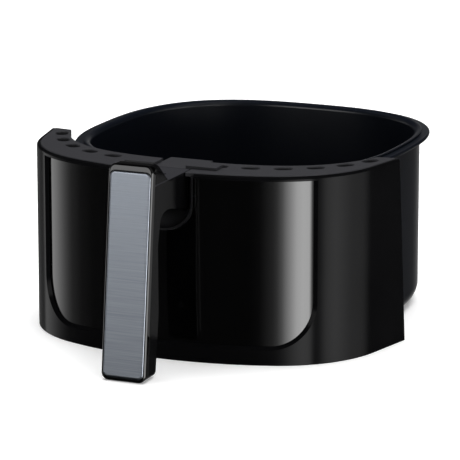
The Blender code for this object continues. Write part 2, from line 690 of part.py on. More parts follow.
def build():
    make_pan()
    make_shell()
    make_panel()
    make_deck()
    make_bracket()
    make_deck_screws()
    make_shield()
    make_socket()
    basket = make_basket()
    make_saddle()
    make_rivets(basket)
    make_saddle_screws()
    make_handle_body()
    make_handle_front()
    make_inlay()
    make_handle_screws()
    make_button()
    make_spring()
    make_latch()
    make_pin()


build()
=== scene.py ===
# %% [markdown]
# # The drawer of an air fryer
#
# The design of this drawer already exists as plain solids: every part has its size, its place and its
# joint. This script gives each visible part the surface and the finish of the real one: moulded and
# gloss plastic, coated steel and a brushed steel inlay.
#
# The first cell loads that design as a fixed frame. Everything later takes its place from it.

# %% Load the frame
import math

import bmesh
import bpy
import numpy as np
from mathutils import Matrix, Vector


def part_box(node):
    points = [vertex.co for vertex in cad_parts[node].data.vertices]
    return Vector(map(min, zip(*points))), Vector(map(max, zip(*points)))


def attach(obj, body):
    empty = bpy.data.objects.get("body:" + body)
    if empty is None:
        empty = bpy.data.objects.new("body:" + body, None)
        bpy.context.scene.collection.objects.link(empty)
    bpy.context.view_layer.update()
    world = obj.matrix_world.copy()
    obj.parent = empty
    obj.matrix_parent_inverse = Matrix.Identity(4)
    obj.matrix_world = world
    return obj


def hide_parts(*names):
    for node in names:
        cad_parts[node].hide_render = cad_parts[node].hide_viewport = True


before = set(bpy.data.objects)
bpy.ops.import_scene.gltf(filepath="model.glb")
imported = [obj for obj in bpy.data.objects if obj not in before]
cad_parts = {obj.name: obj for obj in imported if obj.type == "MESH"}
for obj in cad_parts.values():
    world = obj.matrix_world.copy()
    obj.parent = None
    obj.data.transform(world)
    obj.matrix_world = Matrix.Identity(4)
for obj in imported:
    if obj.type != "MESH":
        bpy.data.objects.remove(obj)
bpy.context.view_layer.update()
MM = 0.001

# %% [markdown]
# ## Dimensions
#
# A few numbers drive all the shapes. Those that the frame can tell are read from it, so that the looks
# cannot drift away from the design. The others describe how the moulded front is drawn: in plan it is
# a flat arc, then a corner arc, then a short straight end, the same on both sides.

# %% Dimensions
SQUARENESS = 2.73                       # exponent of the pan's rounded-square plan
FRONT_R, FRONT_ANGLE = 228 * MM, math.radians(20.1)
CORNER_R, END_ANGLE = 82.7 * MM, math.radians(78)
END_RUN, END_LEAN = 31.3 * MM, 9.4 * MM
SHELL_WALL = 2.5 * MM
PANEL_GAP, PANEL_THICK = 0.3 * MM, 1.8 * MM
WINDOW_HALF, WINDOW_R = 109.5 * MM, 32 * MM
WINDOW_LOW, WINDOW_HIGH = 13.3 * MM, 131 * MM
BEZEL = 2.2 * MM                         # width of the slope round the window
FRONT_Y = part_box("front_shell")[0][1]
SHELL_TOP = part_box("front_shell")[1][2]
DECK_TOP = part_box("release_button")[0][2] + 7 * MM
RIM_HALF_X, RIM_HALF_Y, RIM_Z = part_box("drawer_pan")[1]
FLAT_RUN = FRONT_R * FRONT_ANGLE
CORNER_RUN = CORNER_R * (END_ANGLE - FRONT_ANGLE)
HALF_RUN = FLAT_RUN + CORNER_RUN + END_RUN
BAR_LOW, BAR_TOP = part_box("handle_front")[0][2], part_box("handle_front")[1][2]
BAR_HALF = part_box("handle_front")[1][0]
BAR_FRONT_LOW, BAR_FRONT_TOP = -64.5 * MM, -48.5 * MM
NECK_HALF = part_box("handle_body")[1][0]
NECK_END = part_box("handle_body")[1][1] - FRONT_Y
SOCKET_HALF, SOCKET_Z, SOCKET_DROP = 24 * MM, 115 * MM, 22.5 * MM
print("front at", round(FRONT_Y, 4), "rim", round(RIM_HALF_X, 4), round(RIM_HALF_Y, 4), round(RIM_Z, 4))

# %% [markdown]
# ## From a grid of points to a mesh
#
# Almost every shape here is a surface with two parameters. numpy works out all its points at once as
# an array of rows and columns, and one helper turns that array into a mesh. A row can close on itself,
# like the ring of a pan, and the first and last rows can be capped to make the body solid.

# %% Mesh helpers
VISUAL = bpy.data.collections.new("visual")
bpy.context.scene.collection.children.link(VISUAL)


def surface(name, points):
    """Closed mesh of a (rows, columns, 3) array: quads join neighbours, each row closes on itself,
    and one face each caps the first and the last row."""
    rows, cols = points.shape[:2]
    index = np.arange(rows * cols).reshape(rows, cols)
    after = np.roll(index, -1, axis=1)
    quads = np.stack([index[:-1], after[:-1], after[1:], index[1:]], axis=-1).reshape(-1, 4)
    faces = quads.tolist() + [index[0][::-1].tolist(), index[-1].tolist()]
    made = linked(name, points, faces)
    outward(made)
    return made


def linked(name, points, faces):
    """New object with these points and faces, in the visual collection."""
    mesh = bpy.data.meshes.new(name)
    mesh.from_pydata(points.reshape(-1, 3).tolist(), [], faces)
    made = bpy.data.objects.new(name, mesh)
    VISUAL.objects.link(made)
    return made


def outward(piece):
    """Merge doubles and turn the faces of a closed body outwards."""
    bm = bmesh.new()
    bm.from_mesh(piece.data)
    bmesh.ops.remove_doubles(bm, verts=bm.verts, dist=1e-6)
    bmesh.ops.recalc_face_normals(bm, faces=bm.faces)
    bm.to_mesh(piece.data)
    bm.free()


def combine(piece, tools, operation="DIFFERENCE"):
    """Cut or join a piece with closed tool bodies, apply it, and remove the tools."""
    for tool in tools:
        step = piece.modifiers.new("step", "BOOLEAN")
        step.operation, step.object, step.solver = operation, tool, "EXACT"
        tool.hide_render = True
    bpy.context.view_layer.update()
    graph = bpy.context.evaluated_depsgraph_get()
    mesh = bpy.data.meshes.new_from_object(piece.evaluated_get(graph))
    piece.modifiers.clear()
    piece.data = mesh
    mesh.name = piece.name
    for tool in tools:
        bpy.data.objects.remove(tool, do_unlink=True)


def smooth(piece, angle=30, bevel=0.0, segments=2):
    """Shade smooth up to an angle, and round sharper edges with a small bevel. Weighted normals keep
    the flat faces flat."""
    piece.data.shade_smooth()
    piece.data.set_sharp_from_angle(angle=math.radians(angle))
    if bevel:
        edge = piece.modifiers.new("edge", "BEVEL")
        edge.width, edge.segments = bevel, segments
        edge.limit_method, edge.angle_limit = "ANGLE", math.radians(angle)
        edge.harden_normals = True
    flat = piece.modifiers.new("flat", "WEIGHTED_NORMAL")
    flat.keep_sharp = True
    return piece


def place(x, y, z):
    """Stack three arrays, or numbers, into points."""
    return np.stack(np.broadcast_arrays(x, y, z), axis=-1).astype(float)


def arc(cx, cz, radius, start, stop, count):
    """Points (cx + r sin a, cz + r cos a) for a from start to stop degrees: 0 is up and 90 is to +x."""
    a = np.radians(np.linspace(start, stop, count))
    return np.column_stack([cx + radius * np.sin(a), cz + radius * np.cos(a)])


def block(low, high, name="tool"):
    """A plain box as a tool for combine."""
    (x0, y0, z0), (x1, y1, z1) = low, high
    ring = np.array([[x0, y0], [x1, y0], [x1, y1], [x0, y1]])
    return surface(name, np.stack([place(ring[:, 0], ring[:, 1], z) for z in (z0, z1)]))


def rods(centres, radius, low, high, sides=16):
    """Upright round rods, all in one mesh, as a tool for combine."""
    a = np.linspace(0, 2 * np.pi, sides, endpoint=False)
    centres = np.asarray(centres, float)
    ring = centres[:, None, :] + radius * np.column_stack([np.cos(a), np.sin(a)])[None]
    points = np.concatenate([np.dstack([ring, np.full(ring.shape[:2], z)]) for z in (low, high)], axis=1)
    count = len(centres)
    base = np.arange(count)[:, None] * 2 * sides
    k = np.arange(sides)
    after = (k + 1) % sides
    quads = np.stack([base + k, base + after, base + sides + after, base + sides + k], -1).reshape(-1, 4)
    faces = quads.tolist() + (base + k[::-1]).tolist() + (base + sides + k).tolist()
    return linked("tool", points, faces)


# %% [markdown]
# ## Two plans
#
# The pan is a rounded square: |x/a|^n + |y/b|^n = 1, written with the polar angle so that its points
# are spread evenly. The front is a run of arcs, and a point on it is named by its distance along the
# surface and its depth behind the surface. Wrapping flat drawings on that line makes the front, the
# panel and the deck.

# %% Plans
def plan(angle, half_x, half_y):
    """Rounded square, r = (|sin t/a|^n + |cos t/b|^n)^(-1/n), with t = 0 towards the handle."""
    across, along = np.sin(angle), np.cos(angle)
    reach = np.abs(across / half_x) ** SQUARENESS + np.abs(along / half_y) ** SQUARENESS
    reach = reach ** (-1 / SQUARENESS)
    return reach * across, -reach * along


def cup(name, profile, count=240):
    """Body made of rings: each profile point is (distance inside the rim's edge, height)."""
    inset, z = np.asarray(profile).T[:, :, None]
    angle = np.linspace(0, 2 * np.pi, count, endpoint=False)[None]
    x, y = plan(angle, RIM_HALF_X - inset, RIM_HALF_Y - inset)
    return surface(name, place(x, y, z))


def front_line(s, depth=0.0):
    """Outline of the front: angle s/R on the flat arc, then on the corner arc, then straight.
    depth moves the point inwards along the normal."""
    s, depth = np.broadcast_arrays(np.asarray(s, float), depth)
    side, run = np.sign(s), np.abs(s)
    flat = np.minimum(run, FLAT_RUN) / FRONT_R
    angle = flat + np.clip(run - FLAT_RUN, 0, CORNER_RUN) / CORNER_R
    x = FRONT_R * np.sin(flat) + CORNER_R * (np.sin(angle) - np.sin(flat))
    y = FRONT_R * (1 - np.cos(flat)) + CORNER_R * (np.cos(flat) - np.cos(angle))
    rest = np.maximum(0, run - FLAT_RUN - CORNER_RUN)
    x = x + rest * np.cos(angle) - depth * np.sin(angle)
    y = y + rest * np.sin(angle) + depth * np.cos(angle)
    return side * x, FRONT_Y + y


def window(t, half, low, high, radius):
    """Lower and upper edge of the window at share t of its half width: the lower one turns up
    along a quarter circle at each end."""
    s = t * half
    over = np.maximum(0, np.abs(s) - (half - radius))
    floor = low + radius - np.sqrt(np.maximum(0, radius ** 2 - over ** 2))
    return s, floor, np.full_like(s, high)


def spread(count):
    """Shares from -1 to 1 that bunch up towards both ends, sin(u), where the window's corners are."""
    return np.sin(np.linspace(-np.pi / 2, np.pi / 2, count))


def wrapped(name, front, back, count=421):
    """Plate between two windows, each (half, low, high, radius, depth), wrapped on the front."""
    t = spread(count)
    columns = []
    for half, low, high, radius, depth in (front, back):
        s, floor, top = window(t, half, low, high, radius)
        x, y = front_line(s, depth)
        levels = np.linspace(0, 1, 9)[:, None]
        columns.append(place(x, y, floor + (top - floor) * levels))
    ring = np.concatenate([columns[0], columns[1][::-1]])
    return surface(name, ring.transpose(1, 0, 2))


def socket_u(half, centre_z, drop, top, power, count=24):
    """U of the socket, as (x, z): straight sides above the centre, and below it
    |x/half|^p + |z/drop|^p = 1."""
    a = np.linspace(-np.pi / 2, np.pi / 2, 2 * count + 1)
    x = half * np.sign(a) * np.abs(np.sin(a)) ** (2 / power)
    z = centre_z - drop * np.abs(np.cos(a)) ** (2 / power)
    return np.vstack([[-half, top], np.column_stack([x, z]), [half, top]])


def notch(back, margin=0.0):
    """Tool that cuts the socket's U through the front."""
    u = socket_u(SOCKET_HALF + margin, SOCKET_Z, SOCKET_DROP + margin, 160 * MM, 2)
    return surface("tool", np.stack([place(u[:, 0], FRONT_Y + y, u[:, 1]) for y in (-0.02, back)]))


# %% [markdown]
# ## Finishes
#
# Plastic is never one flat colour. A mould leaves a fine grain, and handling leaves broad and very
# faint patches where the gloss changes. Both effects are wanted on several materials, so each is a node
# group with a scale and a strength, built once. A group only puts out values that change over the
# surface; the shader that uses them stays in the material.

# %% Shared effects
def node_group(name, inputs, outputs):
    """An empty shader group with float inputs and outputs."""
    group = bpy.data.node_groups.new(name, "ShaderNodeTree")
    for label, value in inputs.items():
        socket = group.interface.new_socket(label, in_out="INPUT", socket_type="NodeSocketFloat")
        socket.default_value = value
    for label in outputs:
        group.interface.new_socket(label, in_out="OUTPUT", socket_type="NodeSocketFloat")
    return group, group.nodes.new("NodeGroupInput"), group.nodes.new("NodeGroupOutput")


def math_node(tree, operation, one, two=None, three=None):
    """A Math node; each value is a number or a socket."""
    node = tree.nodes.new("ShaderNodeMath")
    node.operation = operation
    for slot, value in zip(node.inputs, (one, two, three)):
        if isinstance(value, (int, float)):
            slot.default_value = value
        elif value is not None:
            tree.links.new(value, slot)
    return node.outputs[0]


def noise(tree, vector, scale, detail=2.0):
    """A noise texture read at a vector; scale is a number or a socket."""
    node = tree.nodes.new("ShaderNodeTexNoise")
    node.inputs["Detail"].default_value = detail
    tree.links.new(vector, node.inputs["Vector"])
    if isinstance(scale, (int, float)):
        node.inputs["Scale"].default_value = scale
    else:
        tree.links.new(scale, node.inputs["Scale"])
    return node.outputs[0]


def object_point(tree):
    return tree.nodes.new("ShaderNodeTexCoord").outputs["Object"]


def make_patches():
    """Broad faint patches: value = middle + strength * (noise - 0.5)."""
    tree, given, put = node_group("gloss_patches", {"Middle": 0.3, "Strength": 0.1, "Scale": 18.0},
                                  ["Value"])
    cloud = noise(tree, object_point(tree), given.outputs["Scale"], 3.0)
    centred = math_node(tree, "SUBTRACT", cloud, 0.5)
    tree.links.new(math_node(tree, "MULTIPLY_ADD", centred, given.outputs["Strength"],
                             given.outputs["Middle"]), put.inputs["Value"])
    return tree


def make_grain():
    """Moulded grain: two sizes of noise, the finer one at half the height."""
    tree, given, put = node_group("moulded_grain", {"Scale": 1500.0}, ["Height"])
    point = object_point(tree)
    coarse = noise(tree, point, given.outputs["Scale"], 1.0)
    fine = noise(tree, point, math_node(tree, "MULTIPLY", given.outputs["Scale"], 2.3), 1.0)
    tree.links.new(math_node(tree, "MULTIPLY_ADD", fine, 0.5, coarse), put.inputs["Height"])
    return tree


def make_brushing():
    """Brushed lines along X: noise squeezed 60 to 1, so it changes fast up the bar and slowly
    across it."""
    tree, given, put = node_group("brushed_lines", {"Scale": 900.0, "Stretch": 60.0}, ["Value"])
    squeeze = tree.nodes.new("ShaderNodeCombineXYZ")
    across = math_node(tree, "DIVIDE", 1.0, given.outputs["Stretch"])
    tree.links.new(across, squeeze.inputs[0])
    squeeze.inputs[1].default_value = 1.0
    squeeze.inputs[2].default_value = 1.0
    product = tree.nodes.new("ShaderNodeVectorMath")
    product.operation = "MULTIPLY"
    tree.links.new(object_point(tree), product.inputs[0])
    tree.links.new(squeeze.outputs[0], product.inputs[1])
    tree.links.new(noise(tree, product.outputs[0], given.outputs["Scale"], 2.0), put.inputs["Value"])
    return tree


EFFECTS = {"patches": make_patches(), "grain": make_grain(), "brushing": make_brushing()}
print("effects:", ", ".join(EFFECTS))

# %% [markdown]
# ## Materials
#
# Each material is a Principled shader with its own constants, and the groups feed its roughness, its
# colour and its bump. The colours are darker than they look: black plastic in a bright studio gets
# most of its grey from reflections.

# %% Materials
def use(tree, effect, **values):
    """Place a group in a material with its own values, and return its first output."""
    node = tree.nodes.new("ShaderNodeGroup")
    node.node_tree = EFFECTS[effect]
    for label, value in values.items():
        node.inputs[label].default_value = value
    return node.outputs[0]


def bump(tree, shader, height, distance, strength=1.0):
    node = tree.nodes.new("ShaderNodeBump")
    node.inputs["Distance"].default_value = distance
    node.inputs["Strength"].default_value = strength
    tree.links.new(height, node.inputs["Height"])
    tree.links.new(node.outputs[0], shader.inputs["Normal"])


def tint(tree, shader, value, dark, light):
    """Colour that goes from dark to light with a value."""
    ramp = tree.nodes.new("ShaderNodeValToRGB")
    ramp.color_ramp.elements[0].position, ramp.color_ramp.elements[1].position = 0.3, 0.7
    ramp.color_ramp.elements[0].color = (*dark, 1)
    ramp.color_ramp.elements[1].color = (*light, 1)
    tree.links.new(value, ramp.inputs[0])
    tree.links.new(ramp.outputs[0], shader.inputs["Base Color"])


def material(name, metallic=0.0, roughness=0.4, swing=0.1, patch=18.0, specular=0.5):
    """A Principled material whose roughness has broad faint patches."""
    made = bpy.data.materials.new(name)
    made.use_nodes = True
    tree = made.node_tree
    shader = tree.nodes["Principled BSDF"]
    shader.inputs["Metallic"].default_value = metallic
    shader.inputs["Specular IOR Level"].default_value = specular
    rough = use(tree, "patches", Middle=roughness, Strength=swing, Scale=patch)
    tree.links.new(rough, shader.inputs["Roughness"])
    return made, tree, shader


def gloss_plastic():
    """Piano black: nearly a mirror, with the faintest change of gloss."""
    made, tree, shader = material("piano_black", roughness=0.045, swing=0.03, patch=30)
    tint(tree, shader, use(tree, "patches", Middle=0.5, Strength=1.0, Scale=40),
         (0.0005, 0.0005, 0.0006), (0.0008, 0.0008, 0.0009))
    return made


def satin_plastic(name="satin_black", shade=0.0026, roughness=0.15, specular=0.05):
    """Black moulding with a semi-gloss skin and a grain too fine to see as dots."""
    made, tree, shader = material(name, roughness=roughness, swing=0.04, specular=specular)
    tint(tree, shader, use(tree, "patches", Middle=0.5, Strength=1.0, Scale=25),
         (0.8 * shade, 0.8 * shade, 0.9 * shade), (1.2 * shade, 1.2 * shade, 1.35 * shade))
    bump(tree, shader, use(tree, "grain", Scale=2600), 0.00001, 0.2)
    return made


def grip_plastic():
    """Satin moulding whose flat top is textured: a mask from the height mixes in the matt grey."""
    made = satin_plastic("grip_satin", roughness=0.2, specular=0.08)
    tree = made.node_tree
    shader = tree.nodes["Principled BSDF"]
    split = tree.nodes.new("ShaderNodeSeparateXYZ")
    tree.links.new(object_point(tree), split.inputs[0])
    above = math_node(tree, "GREATER_THAN", split.outputs[2], DECK_TOP - 0.5 * MM)
    below = math_node(tree, "LESS_THAN", split.outputs[2], DECK_TOP + 0.6 * MM)
    mask = math_node(tree, "MULTIPLY", above, below)
    mix = tree.nodes.new("ShaderNodeMix")
    mix.data_type = "RGBA"
    mix.inputs["B"].default_value = TEXTURED_GREY
    old = shader.inputs["Base Color"].links[0].from_socket
    tree.links.new(mask, mix.inputs["Factor"])
    tree.links.new(old, mix.inputs["A"])
    tree.links.new(mix.outputs["Result"], shader.inputs["Base Color"])
    rough = shader.inputs["Roughness"].links[0].from_socket
    tree.links.new(math_node(tree, "MULTIPLY_ADD", mask, TEXTURED_ROUGHER, rough),
                   shader.inputs["Roughness"])
    return made


def deck_plastic():
    """Dark grey moulding with a matt spark-eroded texture."""
    made, tree, shader = material("textured_grey", roughness=0.52, swing=0.10)
    grain = use(tree, "grain", Scale=1400)
    tint(tree, shader, grain, (0.013, 0.013, 0.015), (0.026, 0.026, 0.029))
    bump(tree, shader, grain, 0.00012, 0.6)
    return made


def coating():
    """Nonstick coating on steel: blue-black, satin, with fine pale flecks."""
    made, tree, shader = material("nonstick", metallic=0.0, roughness=0.30, swing=0.08)
    fleck = noise(tree, object_point(tree), 2400, 1.0)
    tint(tree, shader, fleck, (0.002, 0.0026, 0.0042), (0.006, 0.0075, 0.012))
    bump(tree, shader, use(tree, "grain", Scale=900), 0.00006, 0.35)
    return made


def brushed_steel():
    """Satin steel: the lines change both the roughness and the shade."""
    made, tree, shader = material("brushed_steel", metallic=1.0, roughness=0.36)
    lines = use(tree, "brushing", Scale=1500, Stretch=70)
    tint(tree, shader, lines, (0.245, 0.268, 0.305), (0.325, 0.350, 0.390))
    rough = math_node(tree, "MULTIPLY_ADD", lines, 0.22, 0.26)
    tree.links.new(rough, shader.inputs["Roughness"])
    bump(tree, shader, lines, 0.00004, 0.35)
    return made


def zinc_plate():
    """Zinc-plated steel: bright, with a soft cloudy bloom."""
    made, tree, shader = material("zinc_plate", metallic=1.0, roughness=0.34, swing=0.2, patch=120)
    tint(tree, shader, use(tree, "patches", Middle=0.5, Strength=1.0, Scale=90),
         (0.38, 0.39, 0.40), (0.56, 0.57, 0.58))
    return made


TEXTURED_GREY, TEXTURED_ROUGHER = (0.022, 0.022, 0.025, 1), 0.32
FINISH = {"gloss": gloss_plastic(), "satin": satin_plastic(), "grip": grip_plastic(),
          # The socket's satin is about three times paler than the front's satin: a painted reflection of
          # the white floor in the sloped wall under the neck. Its higher roughness and gloss are the
          # finish itself.
          "socket": satin_plastic("socket_satin_painted_floor_sheen", 0.008, 0.4, 0.3), "deck": deck_plastic(),
          "coating": coating(), "steel": brushed_steel(), "zinc": zinc_plate()}


def dress(piece, finish, body, *nodes):
    """Give a piece its finish, its body and the nodes that it stands for."""
    piece.data.materials.clear()
    piece.data.materials.append(FINISH[finish])
    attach(piece, body)
    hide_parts(*nodes)
    print(piece.name, len(piece.data.polygons), "faces")


# %% [markdown]
# ## Pan and basket
#
# Both are pressed from sheet and share the rounded-square plan, so one profile, carried round the
# plan, makes the whole body: floor, bend, wall and rim in one surface. The pan's rim flares out and
# rolls over a bead. The basket's thin lip lies on it, and its edge catches the light as a bright line.

# %% Pan
def pan_profile(wall=1.2 * MM):
    """(inset, height) from the middle of the inside floor, over the rim, to the outside floor."""
    outer, inner, bend, bead = 7 * MM, 8.2 * MM, 15 * MM, 1.3 * MM
    centre = RIM_HALF_X - 2 * MM
    roll, flare = 1.5 * MM, 1.8 * MM
    inside = np.vstack([
        [[centre, wall], [60 * MM, wall]],
        arc(inner + bend, wall + bend, bend, 180, 270, 14),
        arc(inner - roll, RIM_Z - roll, roll, 90, 0, 8)])
    top = np.vstack([[[2.6 * MM, RIM_Z - 0.05 * MM]], arc(bead, RIM_Z - bead, bead, 20, -200, 14)])
    under = np.array([[3.0 * MM, RIM_Z - 1.7 * MM], [outer - flare, RIM_Z - 2.2 * MM]])
    outside = np.vstack([arc(outer - flare, RIM_Z - flare - 2.2 * MM, flare, 0, 90, 8),
                         arc(outer + bend, bend, bend, 270, 180, 14), [[60 * MM, 0], [centre, 0]]])
    return np.vstack([inside, top, under, outside])


pan = smooth(cup("pan_pressing", pan_profile()), 40)
dress(pan, "coating", "drawer", "drawer_pan")


# %% Basket
BASKET_OUTER, BASKET_WALL, BASKET_LIP, LIP_ROLL = 9.8 * MM, 1.2 * MM, 5.8 * MM, 4 * MM
BASKET_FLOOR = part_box("basket")[0][2]


def basket_profile():
    """(inset, height) of the basket: floor, bend, wall and a lip that lies on the pan's rim."""
    outer, inner, bend = BASKET_OUTER, BASKET_OUTER + BASKET_WALL, 14 * MM
    centre = RIM_HALF_X - 2 * MM
    low, lip = BASKET_FLOOR, RIM_Z + 0.3 * MM
    half = BASKET_WALL / 2
    roll = (inner - LIP_ROLL, lip + BASKET_WALL - LIP_ROLL)
    return np.vstack([
        [[centre, low + BASKET_WALL], [50 * MM, low + BASKET_WALL]],
        arc(inner + bend, low + BASKET_WALL + bend, bend, 180, 270, 14),
        arc(*roll, LIP_ROLL, 90, 0, 10), arc(BASKET_LIP + half, lip + half, half, 0, -180, 8),
        arc(*roll, LIP_ROLL - BASKET_WALL, 0, 90, 8),
        arc(outer + bend, low + bend, bend, 270, 180, 14), [[50 * MM, low], [centre, low]]])


basket = cup("basket_pressing", basket_profile())
HOLE_PITCH, HOLE_R, HOLE_REACH = 11.5 * MM, 2.6 * MM, 92 * MM
ticks = np.arange(-8, 9) * HOLE_PITCH
gx, gy = np.meshgrid(ticks, ticks)
inside = (np.abs(gx) ** SQUARENESS + np.abs(gy) ** SQUARENESS) < HOLE_REACH ** SQUARENESS
centres = np.column_stack([gx[inside], gy[inside]])
combine(basket, [rods(centres, HOLE_R, BASKET_FLOOR - 2 * MM, BASKET_FLOOR + 4 * MM)])
smooth(basket, 40)
dress(basket, "coating", "lift_out_basket", "basket")
print("holes in the basket's floor:", len(centres))

# %% [markdown]
# ## Moulded front
#
# The front is one wall with a rounded lip, swept along the outline, and its ends lean back towards
# the floor. The window is cut by a tool that is wider in front than behind, which leaves the sloped
# bezel that frames the gloss panel.

# %% Front shell
def lip_section(thick, top, outer=1.9 * MM, inner=0.4 * MM):
    """Closed section (depth, height) of the wall, with its upper edges rounded."""
    return np.vstack([[[0.3 * MM, 0], [0, 0.4 * MM]], arc(outer, top - outer, outer, -90, 0, 8),
                      arc(thick - inner, top - inner, inner, 0, 90, 4), [[thick, 0]]])


def sweep_front(name, section, s):
    """Carry a (depth, height) section along the outline; the ends lean back as the height falls."""
    depth, z = section.T[:, :, None]
    lean = END_LEAN * (1 - z / SHELL_TOP)
    share = np.clip((np.abs(s) - (HALF_RUN - END_RUN)) / END_RUN, 0, 1)
    x, y = front_line(s + np.sign(s) * share * lean, depth)
    return surface(name, place(x, y, z + 0 * s).transpose(1, 0, 2))


shell = sweep_front("moulded_front", lip_section(SHELL_WALL, SHELL_TOP),
                    np.linspace(-HALF_RUN, HALF_RUN, 401))


def bezel_edge(depth):
    """The window's outline at one depth: its margin shrinks from BEZEL at the surface to nothing."""
    margin = BEZEL * (1 - depth / SHELL_WALL)
    return (WINDOW_HALF + margin, WINDOW_LOW - margin, WINDOW_HIGH + 0.25 * margin,
            WINDOW_R + margin, depth)


combine(shell, [wrapped("tool", bezel_edge(-0.5 * MM), bezel_edge(SHELL_WALL + 0.5 * MM)),
                notch(12 * MM)])
smooth(shell, 25, 0.25 * MM)
dress(shell, "satin", "drawer", "front_shell")

# %% Gloss panel
lap = 4 * MM
face = SHELL_WALL + PANEL_GAP
outline = (WINDOW_HALF + lap, WINDOW_LOW - lap, WINDOW_HIGH + 0.6 * MM, WINDOW_R + lap)
panel = wrapped("gloss_panel", (*outline, face), (*outline, face + PANEL_THICK))
combine(panel, [notch(16 * MM)])
smooth(panel, 25)
dress(panel, "gloss", "drawer", "front_panel")

# %% [markdown]
# ## Vent deck
#
# The deck is a crescent: its outer edge follows the front and its inner edge follows the pan's rim.
# Its slots let the hot air out. Each slot is an obround, a rectangle with round ends, and the cutting
# tool widens at the top so that every slot gets a small chamfer.

# %% Vent deck
DECK_LOW = DECK_TOP - 2.8 * MM
DECK_INNER = (127.1 * MM, 123.5 * MM, math.radians(63.1))
SLOT_LINE = (131.2 * MM, 134.5 * MM, math.radians(58.2))
SLOT_LENGTH, SLOT_WIDTH, SLOT_PITCH, SLOT_COUNT = 13 * MM, 8.6 * MM, 22.8 * MM, 6
SKIRT_START, SKIRT_WALL = math.radians(50.5), 1.5 * MM
BRACKET_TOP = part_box("pan_bracket")[1][2]


def crescent(name, count=361):
    """Rows run round the deck's section, columns from its left end to its right end."""
    t = np.linspace(-1, 1, count)
    x0, y0 = front_line(t * (HALF_RUN - 0.5 * MM), SHELL_WALL + 0.3 * MM)
    x1, y1 = plan(t * DECK_INNER[2], DECK_INNER[0], DECK_INNER[1])
    width = np.hypot(x1 - x0, y1 - y0)
    r = 0.8 * MM
    rim = arc(r, DECK_TOP - r, r, -90, 0, 5)
    edge = [(share * width + offset, z) for share, offset, z in
            [(0, 0, DECK_LOW)] + [(0, a, z) for a, z in rim]
            + [(1, -a, z) for a, z in rim[::-1]] + [(1, 0, DECK_LOW)]]
    rows = [place(x0 + (x1 - x0) * run / width, y0 + (y1 - y0) * run / width, z) for run, z in edge]
    return surface(name, np.stack(rows).transpose(1, 0, 2))


def slot_tool(angle, side):
    """Obround along the line of slots, a little wider at the top."""
    here = np.array(plan(angle, *SLOT_LINE[:2]))
    along = np.array(plan(angle + 0.01, *SLOT_LINE[:2])) - here
    along = along / np.linalg.norm(along)
    across = np.array([-along[1], along[0]])
    turn = np.linspace(-np.pi / 2, np.pi / 2, 15)
    rings = []
    for z, extra in ((DECK_LOW - 5 * MM, 0), (DECK_TOP - 0.7 * MM, 0), (DECK_TOP + 0.3 * MM, 0.7 * MM)):
        r = SLOT_WIDTH / 2 + extra
        reach = (SLOT_LENGTH - SLOT_WIDTH) / 2
        half = (reach + r * np.cos(turn))[:, None] * along + (r * np.sin(turn))[:, None] * across
        ring = np.vstack([here + half, here - half])
        rings.append(place(side * ring[:, 0], ring[:, 1], z))
    return surface("tool", np.stack(rings))


def slot_angles():
    """Angles a constant pitch apart along the line, found from its running length."""
    angle = np.linspace(SLOT_LINE[2], 0, 4001)
    x, y = plan(angle, *SLOT_LINE[:2])
    run = np.concatenate([[0], np.cumsum(np.hypot(np.diff(x), np.diff(y)))])
    return np.interp(np.arange(SLOT_COUNT) * SLOT_PITCH, run, angle)


def skirt(side):
    """Wall under one end: across the end, then along the inner edge. Each corner is mitred, so the
    inside point is p + (n1 + n2) w / (1 + n1.n2) for the normals n1 and n2 of its two runs."""
    start = front_line(HALF_RUN - 0.5 * MM, SHELL_WALL + 0.9 * MM)
    edge = plan(np.linspace(DECK_INNER[2], SKIRT_START, 13), *DECK_INNER[:2])
    path = np.vstack([start, np.column_stack(edge)])
    run = np.diff(path, axis=0)
    normal = np.column_stack([-run[:, 1], run[:, 0]]) / np.linalg.norm(run, axis=1)[:, None]
    one, two = np.vstack([normal[:1], normal]), np.vstack([normal, normal[-1:]])
    inside = path + (one + two) * SKIRT_WALL / (1 + np.sum(one * two, axis=1))[:, None]
    low, high = BRACKET_TOP + 0.3 * MM, DECK_TOP - 1 * MM
    return surface("tool", np.stack([place(side * ring[:, 0], ring[:, 1], z) for ring, z in
                                     ((path, low), (path, high), (inside, high), (inside, low))],
                                    axis=1))


def boss_places():
    """Centres of the four screw bosses, from the distance along the front and the depth."""
    run, depth = np.array([-104, -45, 45, 104]) * MM, np.array([12, 13, 13, 12]) * MM
    return np.column_stack(front_line(run, depth))


deck = crescent("vent_deck_top")
BOSS_R, PILOT_R, PILOT_TOP = 4 * MM, 1.6 * MM, 128.5 * MM
bosses = rods(boss_places(), BOSS_R, BRACKET_TOP + 0.3 * MM, DECK_LOW + 1 * MM)
combine(deck, [skirt(-1), skirt(1), bosses], "UNION")
channel = NECK_HALF + 0.8 * MM
tools = [slot_tool(angle, side) for angle in slot_angles() for side in (-1, 1)]
tools.append(block((-channel, FRONT_Y - 5 * MM, 120 * MM), (channel, FRONT_Y + 60 * MM, 150 * MM)))
tools.append(rods(boss_places(), PILOT_R, BRACKET_TOP - 1 * MM, PILOT_TOP))
combine(deck, tools)
smooth(deck, 30)
dress(deck, "deck", "drawer", "vent_deck")

# %% [markdown]
# ## Socket
#
# The neck of the handle drops into a funnel in the front. Its mouth is a wide U and its tunnel a
# squarer, narrower one. Between them the section changes smoothly, which gives the sloped, spoon-like
# wall under the neck.

